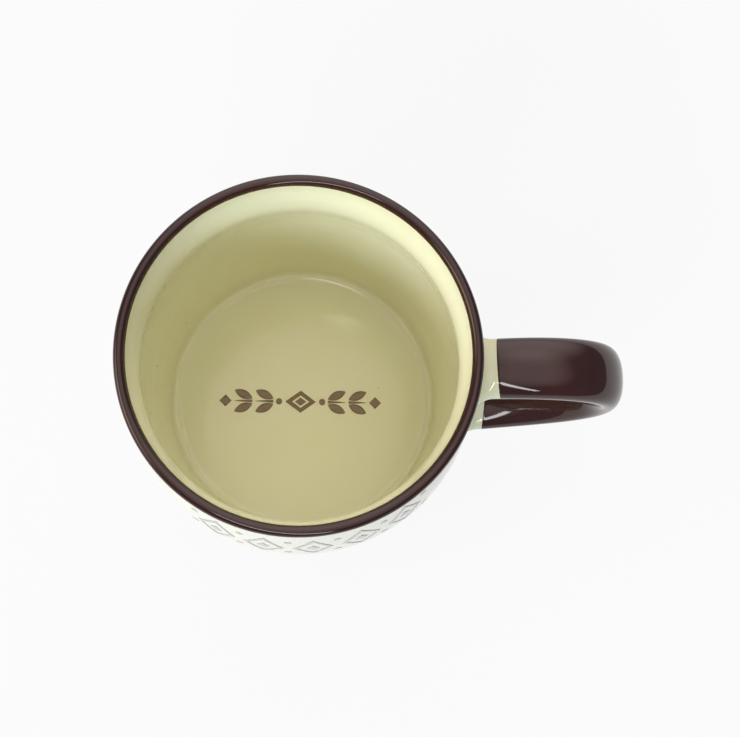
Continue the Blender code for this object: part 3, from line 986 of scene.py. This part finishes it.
def bare_clay(name, pale, dark):
    """Matt fired clay with a sandy grain."""
    material, tree = new_material(name)
    places = add(tree, "ShaderNodeTexCoord").outputs["Object"]
    grain = add(tree, "ShaderNodeTexNoise", {"Vector": places, "Scale": CLAY_GRAIN, "Detail": 6.0})
    patch = add(tree, "ShaderNodeTexNoise", {"Vector": places, "Scale": CLAY_PATCHES, "Detail": 2.0})
    both = {0: grain.outputs["Fac"], 1: patch.outputs["Fac"]}
    mixed = add(tree, "ShaderNodeMath", both, operation="MULTIPLY")
    spread = add(tree, "ShaderNodeMapRange", {"Value": mixed.outputs[0], **CLAY_CONTRAST})
    tones = {"Factor": spread.outputs["Result"], "A": linear(dark), "B": linear(pale)}
    colour = add(tree, "ShaderNodeMix", tones, data_type="RGBA")
    relief = add(tree, "ShaderNodeBump", {"Height": grain.outputs["Fac"], **CLAY_RELIEF})
    surface = add(tree, "ShaderNodeBsdfPrincipled", {
        "Base Color": colour.outputs["Result"],
        "Roughness": CLAY_ROUGHNESS,
        "Normal": relief.outputs["Normal"],
        "IOR": GLASS_IOR,
    })
    add(tree, "ShaderNodeOutputMaterial", {"Surface": surface.outputs["BSDF"]})
    return material


stoneware = bare_clay("bare_stoneware", "#D2C6AE", "#BCAE94")
slip = bare_clay("fired_slip", "#CDC3B2", "#B9AE9B")
cup_clay.data.materials.append(stoneware)
hidden_clay = {"handle_strap": stoneware, "upper_slip_joint": slip, "lower_slip_joint": slip}
for node, clay in hidden_clay.items():
    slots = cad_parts[node].data.materials
    slots.clear()
    slots.append(clay)
print("bare clay on the cup and on", ", ".join(hidden_clay))

# %% [markdown]
# ## Floor and light
# The mug stands on a plain pale table. The photograph's background is almost white, so to the camera, and to
# a glossy surface that mirrors it, the table is mostly an even glow with a small share of matt, which keeps a
# faint shadow. To the light that it throws back at the mug it is a matt grey, so the outside doesn't wash
# out.

# %% Floor
FLOOR_SIZE = 6.0
FLOOR_SQUARES = 8
BACKGROUND = "#FAFAFA"
TABLE_GREY = "#BEBEBE"
SHADOW_SHARE = 0.06
GLOW_SHARE = 0.93
floor_source = bmesh.new()
bmesh.ops.create_grid(
    floor_source, x_segments=FLOOR_SQUARES, y_segments=FLOOR_SQUARES, size=FLOOR_SIZE / 2
)
floor_mesh = bpy.data.meshes.new("floor")
floor_source.to_mesh(floor_mesh)
floor_source.free()
table = bpy.data.objects.new("floor", floor_mesh)
bpy.context.scene.collection.objects.link(table)
table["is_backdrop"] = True
print("table %.0f m square" % FLOOR_SIZE)

# %% Finish of the floor
floor_finish, tree = new_material("white_table")
ray = add(tree, "ShaderNodeLightPath").outputs
seen = {0: ray["Is Camera Ray"], 1: ray["Is Glossy Ray"]}
mirrored = add(tree, "ShaderNodeMath", seen, operation="MAXIMUM")
seen_through = {0: mirrored.outputs[0], 1: ray["Is Transmission Ray"]}
looked_at = add(tree, "ShaderNodeMath", seen_through, operation="MAXIMUM")
matt = add(tree, "ShaderNodeBsdfDiffuse", {"Color": linear(TABLE_GREY)})
shaded = add(tree, "ShaderNodeBsdfDiffuse", {"Color": (SHADOW_SHARE, SHADOW_SHARE, SHADOW_SHARE, 1.0)})
glow = add(tree, "ShaderNodeEmission", {"Color": linear(BACKGROUND), "Strength": GLOW_SHARE})
shown = add(tree, "ShaderNodeAddShader", {0: shaded.outputs["BSDF"], 1: glow.outputs["Emission"]})
choice = add(tree, "ShaderNodeMixShader", {
    0: looked_at.outputs[0],
    1: matt.outputs["BSDF"],
    2: shown.outputs["Shader"],
})
add(tree, "ShaderNodeOutputMaterial", {"Surface": choice.outputs["Shader"]})
floor_mesh.materials.append(floor_finish)
print("table glows at %.2f of %s where it is looked at" % (GLOW_SHARE, BACKGROUND))

# %% [markdown]
# ### Room
# A glossy glaze is only as lively as what it mirrors. The room is a dim, bluish wall all round with three
# soft patches of light: the ceiling, the wall behind the mug and a warm one at the left. They fill the inside
# from above and leave dark gaps between them, which the handle's outer bend shows. An even room would be
# simpler, but the brown would look flat.

# %% Room
WALL_LEVEL = 0.26
WALL_COLOUR = "#DCE6FF"
world = bpy.data.worlds.new("light_room")
world.use_nodes = True
tree = world.node_tree
tree.nodes.clear()
way = add(tree, "ShaderNodeTexCoord").outputs["Generated"]


def towards(turn, rise):
    """Direction from the mug, from a turn about it and a rise above the table in degrees."""
    turn, rise = math.radians(turn), math.radians(rise)
    return Vector((math.cos(turn) * math.cos(rise), math.sin(turn) * math.cos(rise), math.sin(rise)))


def light_patch(turn, rise, spread, level, colour):
    """Soft patch of light in the room, fading out over so many degrees from its middle."""
    facing = add(tree, "ShaderNodeVectorMath", {0: way, 1: towards(turn, rise)}, operation="DOT_PRODUCT")
    edge = math.cos(math.radians(spread))
    fade = {"From Min": edge, "From Max": 1.0, "To Min": 0.0, "To Max": level}
    fall = add(
        tree,
        "ShaderNodeMapRange",
        {"Value": facing.outputs["Value"], **fade},
        interpolation_type="SMOOTHSTEP",
    )
    glow = {"Color": linear(colour), "Strength": fall.outputs["Result"]}
    return add(tree, "ShaderNodeBackground", glow)


walls = add(tree, "ShaderNodeBackground", {"Color": linear(WALL_COLOUR), "Strength": WALL_LEVEL})
ceiling = light_patch(turn=0.0, rise=90.0, spread=46.0, level=1.08, colour="#FFEBE3")
back_wall = light_patch(turn=88.0, rise=32.0, spread=52.0, level=1.6, colour="#FFF5EE")
warm_left = light_patch(turn=-172.0, rise=30.0, spread=25.0, level=3.6, colour="#FFE8D0")
whole = walls.outputs["Background"]
for patch in (ceiling, back_wall, warm_left):
    layers = {0: whole, 1: patch.outputs["Background"]}
    whole = add(tree, "ShaderNodeAddShader", layers).outputs["Shader"]
add(tree, "ShaderNodeOutputWorld", {"Surface": whole})
bpy.context.scene.world = world
print("room: walls at %.2f and three patches of light" % WALL_LEVEL)

# %% [markdown]
# ### Lamps
# Most of the light comes through a wide window at the front left, which brightens the far inside wall.
# Mirrored in the handle, so wide a lamp would be a broad patch, and the photograph has a thin bright line
# there. The window is therefore made twice: a wide lamp that lights but isn't mirrored, and a narrow strip
# that is mirrored but doesn't light matt surfaces.

# %% Lamps
def soft_lamp(name, turn, rise, roll, distance, width, height, power, colour):
    """Oblong lamp aimed at the mug, rolled about its aim by so many degrees, sizes in metres."""
    lamp = bpy.data.lights.new(name, "AREA")
    lamp.shape = "RECTANGLE"
    lamp.size = width
    lamp.size_y = height
    lamp.energy = power
    lamp.color = linear(colour)[:3]
    holder = bpy.data.objects.new(name, lamp)
    aim = towards(turn, rise)
    target = CUP_AXIS + Vector((0.0, 0.0, CUP_HEIGHT / 2))
    holder.location = target + aim * distance
    roll_turn = Euler((0.0, 0.0, math.radians(roll))).to_quaternion()
    holder.rotation_euler = (aim.to_track_quat("Z", "Y") @ roll_turn).to_euler()
    bpy.context.scene.collection.objects.link(holder)
    print("%s: %.1f W, %.2f by %.2f m" % (name, power, width, height))
    return holder


window = soft_lamp(
    "window_lamp", turn=-118.0, rise=30.0, roll=0.0, distance=1.6,
    width=1.05, height=0.55, power=24.5, colour="#E4F0FF",
)
window.visible_glossy = False
strip = soft_lamp(
    "strip_lamp", turn=-96.0, rise=48.0, roll=-45.0, distance=1.2,
    width=0.95, height=0.10, power=3.6, colour="#FFFFFF",
)
strip.visible_diffuse = False

# %% [markdown]
# ## Camera
# The photograph looks almost straight down into the mug from about 22 cm above its lip, from a little
# towards the front. The place and the tilt were found by fitting the lip, the neck, the floor and the belly
# circles to the picture.

# %% Camera
PICTURE_WIDTH = 740
FOCAL_PIXELS = 950.0
SENSOR_WIDTH = 36.0
CLIP_START = 0.01
CAMERA_PLACE = Vector((3.92, -40.91, 305.49)) * MM
CAMERA_TILT = (9.631, -3.364, 0.567)
camera_data = bpy.data.cameras.new("camera")
camera_data.sensor_width = SENSOR_WIDTH
camera_data.lens = FOCAL_PIXELS * SENSOR_WIDTH / PICTURE_WIDTH
camera_data.clip_start = CLIP_START
camera = bpy.data.objects.new("camera", camera_data)
camera.location = CUP_AXIS + CAMERA_PLACE
camera.rotation_euler = Euler([math.radians(angle) for angle in CAMERA_TILT])
bpy.context.scene.collection.objects.link(camera)
bpy.context.scene.camera = camera
bpy.context.scene.view_settings.view_transform = "Standard"
print("camera: %.1f mm lens, %.0f mm above the lip" % (camera_data.lens, (CAMERA_PLACE.z - CUP_HEIGHT) / MM))

# %% [markdown]
# ## Both boxes
# The dressed mug is meant to stay inside the solid model's box, so both boxes are printed side by side.

# %% Sizes and finish
final_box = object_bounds()
for label, box in (("CAD", cad_box), ("dressed", final_box)):
    print(label, "box in mm:", [round(v / MM, 2) for p in box for v in p])
